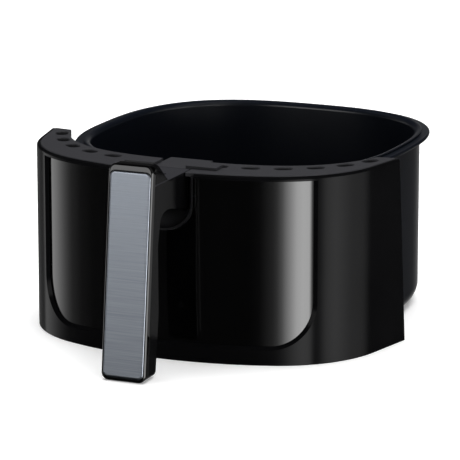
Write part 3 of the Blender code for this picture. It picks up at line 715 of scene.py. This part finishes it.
# %% Socket
def socket_surface():
    """Sections from mouth to tunnel: half width, centre, drop and power all ease together."""
    wall, lip = 1.5 * MM, 0.3 * MM
    top = DECK_LOW - 0.3 * MM
    stations = [(1.2, 0), (1.9, 0.04), (3, 0.14), (4.5, 0.34), (6, 0.58), (7.5, 0.80), (9, 0.95),
                (10, 1), (NECK_END / MM, 1)]
    sections = []
    for y, ease in stations:
        half = (SOCKET_HALF - lip - wall) * (1 - ease) + (NECK_HALF + 0.9 * MM) * ease
        centre = SOCKET_Z * (1 - ease) + 113.6 * MM * ease
        drop = (SOCKET_DROP - lip - wall) * (1 - ease) + 6.6 * MM * ease
        power = 2 + 4 * ease
        inner = socket_u(half, centre, drop, top, power)
        outer = socket_u(half + wall, centre, drop + wall, top, power)
        ring = np.vstack([inner, outer[::-1]])
        sections.append(place(ring[:, 0], FRONT_Y + y * MM, ring[:, 1]))
    return surface("socket_funnel", np.stack(sections))


socket = smooth(socket_surface(), 40)
dress(socket, "socket", "drawer", "handle_socket")

# %% [markdown]
# ## Handle
#
# Seen from the side the handle is an upside-down L: a bar that leans forward and a neck that reaches
# back. Its body is that side outline, with every corner rounded, carried across the width, and the
# last few rows shrink along a quarter circle so that the long edges are round too.

# %% Handle helpers
def fillet(points, radii, count=8):
    """Round the corners of a closed outline: each corner becomes an arc tangent to both edges."""
    points = np.asarray(points, float)
    out = []
    for i, radius in enumerate(radii):
        here, before, after = points[i], points[i - 1], points[(i + 1) % len(points)]
        a, b = before - here, after - here
        la, lb = np.linalg.norm(a), np.linalg.norm(b)
        a, b = a / la, b / lb
        half = np.arccos(np.clip(a @ b, -1, 1)) / 2
        reach = min(radius / np.tan(half), 0.49 * la, 0.49 * lb)
        r = reach * np.tan(half)
        centre = here + (a + b) / np.linalg.norm(a + b) * r / np.sin(half)
        start, stop = here + a * reach - centre, here + b * reach - centre
        sweep = np.arctan2(start[0] * stop[1] - start[1] * stop[0], start @ stop)
        t = np.linspace(0, sweep, count)
        out.append(centre + np.column_stack([start[0] * np.cos(t) - start[1] * np.sin(t),
                                             start[0] * np.sin(t) + start[1] * np.cos(t)]))
    return np.vstack(out)


def inset(corners, radii, s):
    """Rounded outline moved inwards by s. Each corner moves to p + s (n1 + n2) / (1 + n1.n2); a
    convex corner loses s from its radius and a hollow one gains it."""
    corners, radii = np.asarray(corners, float), np.asarray(radii, float)
    edge = np.roll(corners, -1, axis=0) - corners
    edge /= np.linalg.norm(edge, axis=1)[:, None]
    before = np.roll(edge, 1, axis=0)
    turn = before[:, 0] * edge[:, 1] - before[:, 1] * edge[:, 0]
    x, y = corners.T
    way = np.sign(np.sum(x * np.roll(y, -1) - y * np.roll(x, -1)))
    one, two = (np.column_stack([-e[:, 1], e[:, 0]]) * way for e in (before, edge))
    moved = corners + s * (one + two) / (1 + np.sum(one * two, axis=1))[:, None]
    return fillet(moved, np.maximum(radii - s * np.sign(turn * way), 0.1 * MM))


def across(name, corners, radii, half, r):
    """Carry a (distance, height) outline from -half to half; near each end it shrinks by
    r (1 - cos a) while x moves by r sin a."""
    a = np.radians(np.linspace(90, 0, 7))
    x = half - r + r * np.sin(a)
    shrink = r * (1 - np.cos(a))
    stations = [(-xi, si) for xi, si in zip(x, shrink)] + [(xi, si) for xi, si in zip(x, shrink)][::-1]
    rows = []
    for xi, si in stations:
        ring = inset(corners, radii, si)
        rows.append(place(xi, FRONT_Y + ring[:, 0], ring[:, 1]))
    return surface(name, np.stack(rows))


def bar_front(z, depth=0.0):
    """Distance of the bar's front plane at a height, moved back by depth."""
    share = (np.asarray(z) - BAR_LOW) / (BAR_TOP - BAR_LOW)
    return BAR_FRONT_LOW + (BAR_FRONT_TOP - BAR_FRONT_LOW) * share + depth


def loop(half, low, high, r, depth, count=12):
    """Rounded rectangle on the bar's front plane, at one depth."""
    r = max(r, 0.05 * MM)
    corners = [[-half, low], [half, low], [half, high], [-half, high]]
    ring = fillet(corners, [r] * 4, count)
    return place(ring[:, 0], FRONT_Y + bar_front(ring[:, 1], depth), ring[:, 1])


BAR_R = 5.5 * MM
FRAME_DEPTH = 5 * MM
INLAY_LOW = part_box("handle_inlay")[0][2]
INLAY_HALF, _, INLAY_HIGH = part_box("handle_inlay")[1]
NECK_LOW, STRAP_SEAT = 108.4 * MM, 131.3 * MM      # underside of the neck, and the strap's seat on it
STRAP_STEP = 14 * MM                    # distance behind the front where the strap's seat begins


# %% Handle body
def body_outline():
    """Side view of the neck and the bar's rear half: (distance behind the front, height, radius of
    the corner in millimetres)."""
    split = FRAME_DEPTH + 0.3 * MM
    corners = [(bar_front(BAR_LOW, split), BAR_LOW, 0.4), (-44.5 * MM, BAR_LOW, 6),
               (-38.3 * MM, 45 * MM, 60), (-38.9 * MM, 92 * MM, 12), (-34 * MM, 111.5 * MM, 12),
               (-23 * MM, 113.3 * MM, 14), (4 * MM, NECK_LOW, 14), (NECK_END, NECK_LOW, 0.6),
               (NECK_END, STRAP_SEAT, 0.3), (STRAP_STEP, STRAP_SEAT, 0.2), (STRAP_STEP, DECK_TOP, 0.4),
               (-22 * MM, DECK_TOP, 10),
               (-38.6 * MM, BAR_TOP, 3.2), (bar_front(BAR_TOP, split), BAR_TOP, 0.4)]
    return [c[:2] for c in corners], [c[2] * MM for c in corners]


body = across("handle_moulding", *body_outline(), NECK_HALF, 1.8 * MM)
hull_ring = fillet([[-NECK_HALF, BAR_LOW], [NECK_HALF, BAR_LOW], [NECK_HALF, BAR_TOP],
                    [-NECK_HALF, BAR_TOP]], [BAR_R] * 4, 12)
hull = surface("tool", np.stack([place(hull_ring[:, 0], FRONT_Y + y, hull_ring[:, 1])
                                 for y in (-80 * MM, 50 * MM)]))
combine(body, [hull], "INTERSECT")
button_box = [Vector(corner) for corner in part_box("release_button")]
BUTTON_CLEAR, POCKET_DEPTH, THROUGH = 0.35 * MM, 11 * MM, 20 * MM
pocket_low = button_box[0] - Vector((BUTTON_CLEAR, BUTTON_CLEAR, POCKET_DEPTH))
pocket_high = button_box[1] + Vector((BUTTON_CLEAR, BUTTON_CLEAR, THROUGH))
combine(body, [block(pocket_low, pocket_high)])
smooth(body, 35)
dress(body, "grip", "lift_out_basket", "handle_body")


# %% Handle front
def handle_frame():
    """Loops from the back of the frame, round its edge, over its face and down into the pocket."""
    edge = 1.5 * MM
    a = np.radians(np.linspace(0, 90, 7))
    loops = [loop(BAR_HALF - 0.2 * MM, BAR_LOW, BAR_TOP, BAR_R, FRAME_DEPTH),
             loop(BAR_HALF, BAR_LOW, BAR_TOP, BAR_R, FRAME_DEPTH - 0.3 * MM)]
    for depth, cut in zip(edge * (1 - np.sin(a)), edge * (1 - np.cos(a))):
        loops.append(loop(BAR_HALF - cut, BAR_LOW + cut, BAR_TOP - cut, BAR_R - cut, depth))
    gap = 0.3 * MM
    half, low, high = INLAY_HALF + gap, INLAY_LOW - gap, INLAY_HIGH + gap
    for depth, margin in ((0.0, 0.25 * MM), (0.25 * MM, 0.0), (1.8 * MM, 0.0)):
        loops.append(loop(half + margin, low - margin, high + margin, 4 * MM + margin, depth))
    return surface("handle_frame", np.stack(loops))


handle_front = smooth(handle_frame(), 40)
dress(handle_front, "gloss", "lift_out_basket", "handle_front")


# %% Inlay
def inlay_plate():
    """Plate that stands proud of its frame, with a polished edge that rolls into the flat face."""
    half, low, high, r = INLAY_HALF, INLAY_LOW, INLAY_HIGH, 3.8 * MM
    loops = [loop(half, low, high, r, 1.5 * MM)]
    for cut, depth in ((0, 0.45), (0.12, 0.15), (0.4, -0.12), (0.8, -0.28), (1.2, -0.33), (1.7, -0.34)):
        loops.append(loop(half - cut * MM, low + cut * MM, high - cut * MM, r - cut * MM, depth * MM))
    return surface("inlay_plate", np.stack(loops))


inlay = smooth(inlay_plate(), 50)
dress(inlay, "steel", "lift_out_basket", "handle_inlay")

# %% [markdown]
# ## Saddle and button
#
# The strap carries the handle's load over the rim and down inside the basket's wall. Its two wings
# rest on the deck and stop the basket from tipping. They are plain mouldings, so boxes joined by a
# Boolean and softened by a bevel are enough.

# %% Saddle
def saddle_piece():
    """Strap in two heights, the tongue that hangs inside the basket, and a wing on each side."""
    (_, y0, z0), (x1, y1, z1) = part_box("basket_saddle")
    strap_low, strap_top = STRAP_SEAT + 0.3 * MM, 133.2 * MM
    wing_y = (FRONT_Y + 15 * MM, FRONT_Y + 27.5 * MM)
    strap = block((-NECK_HALF, y0, strap_low), (NECK_HALF, wing_y[1], DECK_TOP), "saddle_moulding")
    tools = [block((-NECK_HALF, wing_y[1] - 1 * MM, strap_low), (NECK_HALF, y1, strap_top)),
             block((-NECK_HALF, y1 - 2.2 * MM, z0), (NECK_HALF, y1, strap_top - 1 * MM))]
    for side in (-1, 1):
        for reach, low in ((x1, DECK_TOP + 0.3 * MM), (NECK_HALF, DECK_TOP - 1 * MM)):
            xs = sorted((side * 12 * MM, side * reach))
            tools.append(block((xs[0], wing_y[0], low), (xs[1], wing_y[1], z1)))
    combine(strap, tools, "UNION")
    return smooth(strap, 30, 0.5 * MM, 3)


dress(saddle_piece(), "deck", "lift_out_basket", "basket_saddle")


# %% Release button
def button_piece():
    """Rounded rectangle loops that rise to a shallow dish."""
    (x0, y0, z0), (x1, y1, z1) = button_box
    half_x, half_y = (x1 - x0) / 2, (y1 - y0) / 2
    middle = (y0 + y1) / 2
    rows = []
    for cut, z in ((0, z0), (0, z1 - 0.9 * MM), (0.15, z1 - 0.4 * MM), (0.5, z1 - 0.1 * MM),
                   (1.0, z1), (1.8, z1 - 0.15 * MM), (3.5, z1 - 0.45 * MM), (5.5, z1 - 0.55 * MM)):
        i = cut * MM
        ring = fillet([[i - half_x, i - half_y], [half_x - i, i - half_y],
                       [half_x - i, half_y - i], [i - half_x, half_y - i]],
                      [max(2 * MM - i * 0.3, 0.3 * MM)] * 4, 8)
        rows.append(place(ring[:, 0], middle + ring[:, 1], z))
    return smooth(surface("release_button_cap", np.stack(rows)), 40)


dress(button_piece(), "deck", "button", "release_button")

# %% [markdown]
# ## Inner metal parts
#
# The bracket, the shield, the screws and the latch are shaped well enough in the design. They keep
# their meshes and only get a real finish.

# %% Refinish the parts that stay
KEPT = ["pan_bracket", "heat_shield", "latch_lever", "latch_pin", "button_spring",
        "deck_screw_1", "deck_screw_2", "deck_screw_3", "deck_screw_4", "saddle_rivet_1",
        "saddle_rivet_2", "saddle_screw_1", "saddle_screw_2", "handle_screw_1", "handle_screw_2"]
for name in KEPT:
    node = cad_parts[name]
    node.data.materials.clear()
    node.data.materials.append(FINISH["coating" if name == "pan_bracket" else "zinc"])
print("refinished:", len(KEPT))

# %% [markdown]
# ## Studio
#
# The floor is white and the room is a soft light tent. Black gloss plastic shows only what it
# reflects, so the tent is not even: it is dark in front, with one soft light on the left, a stronger
# one on the right whose brightness rises and then stops, and one further round for the satin wall,
# which reflects less. The world shader paints all of that from the direction alone.

# %% Floor and world
def floor_plane(half=6.0):
    """White ground that mirror reflections don't see; it glows a little, so that it stays white."""
    corners = [(-half, -half, 0), (half, -half, 0), (half, half, 0), (-half, half, 0)]
    mesh = bpy.data.meshes.new("floor")
    mesh.from_pydata(corners, [], [(0, 1, 2, 3)])
    made = bpy.data.objects.new("floor", mesh)
    bpy.context.scene.collection.objects.link(made)
    paint = bpy.data.materials.new("floor_white")
    paint.use_nodes = True
    shader = paint.node_tree.nodes["Principled BSDF"]
    shader.inputs["Base Color"].default_value = (0.9, 0.9, 0.9, 1)
    shader.inputs["Roughness"].default_value = 0.9
    shader.inputs["Specular IOR Level"].default_value = 0.0
    shader.inputs["Emission Color"].default_value = (1, 1, 1, 1)
    shader.inputs["Emission Strength"].default_value = 0.25
    mesh.materials.append(paint)
    made.visible_glossy = False


def map_range(tree, value, given_low, given_high, put_low, put_high):
    """Straight line from one range to another, held at both ends."""
    node = tree.nodes.new("ShaderNodeMapRange")
    tree.links.new(value, node.inputs["Value"])
    for label, number in (("From Min", given_low), ("From Max", given_high),
                          ("To Min", put_low), ("To Max", put_high)):
        node.inputs[label].default_value = number
    return node.outputs[0]


def light_tent():
    """Radiance by azimuth: a = atan2(x, -y) over 360 degrees drives a ramp, two straight lines in z
    keep the light to a band near the horizon, and the camera sees white."""
    world = bpy.data.worlds.new("tent")
    world.use_nodes = True
    tree = world.node_tree
    tree.nodes.clear()
    out = tree.nodes.new("ShaderNodeOutputWorld")
    glow = tree.nodes.new("ShaderNodeBackground")
    white = tree.nodes.new("ShaderNodeBackground")
    white.inputs["Strength"].default_value = 1.0
    white.inputs["Color"].default_value = (1, 1, 1, 1)
    split = tree.nodes.new("ShaderNodeSeparateXYZ")
    tree.links.new(tree.nodes.new("ShaderNodeTexCoord").outputs["Generated"], split.inputs[0])
    forward = math_node(tree, "MULTIPLY", split.outputs[1], -1.0)
    turn = math_node(tree, "ARCTAN2", split.outputs[0], forward)
    share = math_node(tree, "MULTIPLY_ADD", turn, 1 / (2 * math.pi), 0.5)
    ramp = tree.nodes.new("ShaderNodeValToRGB")
    ramp.color_ramp.interpolation = "LINEAR"
    elements = ramp.color_ramp.elements
    while len(elements) < len(TENT):
        elements.new(0.5)
    for element, (degrees, value) in zip(elements, TENT):
        element.position = degrees / 360 + 0.5
        element.color = (value / TENT_STRENGTH,) * 3 + (1,)
    tree.links.new(share, ramp.inputs[0])
    above = map_range(tree, split.outputs[2], 0.0, 0.15, 1.0, TENT_HIGH)
    below = map_range(tree, split.outputs[2], -0.55, -0.35, TENT_DEEP, 1.0)
    band = math_node(tree, "MULTIPLY", above, below)
    strength = math_node(tree, "MULTIPLY", band, TENT_STRENGTH)
    tree.links.new(ramp.outputs[0], glow.inputs["Color"])
    tree.links.new(strength, glow.inputs["Strength"])
    mix = tree.nodes.new("ShaderNodeMixShader")
    path = tree.nodes.new("ShaderNodeLightPath")
    tree.links.new(path.outputs["Is Camera Ray"], mix.inputs[0])
    tree.links.new(glow.outputs[0], mix.inputs[1])
    tree.links.new(white.outputs[0], mix.inputs[2])
    tree.links.new(mix.outputs[0], out.inputs[0])
    bpy.context.scene.world = world


TENT_STRENGTH = 9.0                     # brightness of the brightest stop
TENT_HIGH, TENT_DEEP = 0.06, 0.03       # shares of it that are left high up and far below
# Stops of the tent: (azimuth in degrees, brightness). 0 is straight in front and 90 is to the right.
BACK_LEFT = [(-180, 0.3), (-160, 0.9), (-150, 0.15), (-142, 0.15), (-116, 0.15)]
LEFT_LIGHT = [(-112, 1.3), (-101, 1.6), (-92, 1.55), (-84, 1.15), (-77, 0.74), (-71, 0.44),
              (-66, 0.26), (-62, 0.11), (-56, 0.05)]
DARK_FRONT = [(-28, 0.03), (9, 0.02), (13, 0.06)]
RIGHT_LIGHT = [(16, 0.24), (22, 0.66), (27, 1.6), (36, 5.2), (42, 8.0), (48, 9.0), (55, 8.6)]
SIDE_LIGHT = [(58, 0.3), (64, 0.9), (72, 6.4), (82, 7.6), (100, 3.4), (116, 2.0)]
BACK_RIGHT = [(126, 0.1), (180, 0.04)]
TENT = BACK_LEFT + LEFT_LIGHT + DARK_FRONT + RIGHT_LIGHT + SIDE_LIGHT + BACK_RIGHT
floor_plane()
light_tent()


# %% Key lights
def soft_light(name, place_at, aim, size, watts, shows=False):
    """Square light that faces a point; shows says whether gloss surfaces mirror it."""
    data = bpy.data.lights.new(name, "AREA")
    data.shape, data.size, data.energy = "SQUARE", size, watts
    made = bpy.data.objects.new(name, data)
    made.location = place_at
    made.rotation_euler = (Vector(aim) - Vector(place_at)).to_track_quat("-Z", "Y").to_euler()
    made.visible_glossy = shows
    bpy.context.scene.collection.objects.link(made)


soft_light("top", (0.0, 0.3, 2.2), (0, 0, 0), 2.4, 100)
soft_light("front", (-1.17, -2.76, 0.70), (0, -0.2, 0.08), 1.3, 16, shows=True)

# %% [markdown]
# ## Camera
#
# A long lens from a little above: the drawer is turned so that its right side shows.

# %% Camera
data = bpy.data.cameras.new("camera")
data.lens, data.sensor_width = 250, 36
camera = bpy.data.objects.new("camera", data)
bpy.context.scene.collection.objects.link(camera)
EYE, AIM = Vector((0.9053, -2.1281, 0.6108)), Vector((0.0013, -0.0472, 0.0675))
camera.location = EYE
camera.rotation_euler = (AIM - EYE).to_track_quat("-Z", "Y").to_euler()
bpy.context.scene.camera = camera
bpy.context.scene.view_settings.view_transform = "Standard"
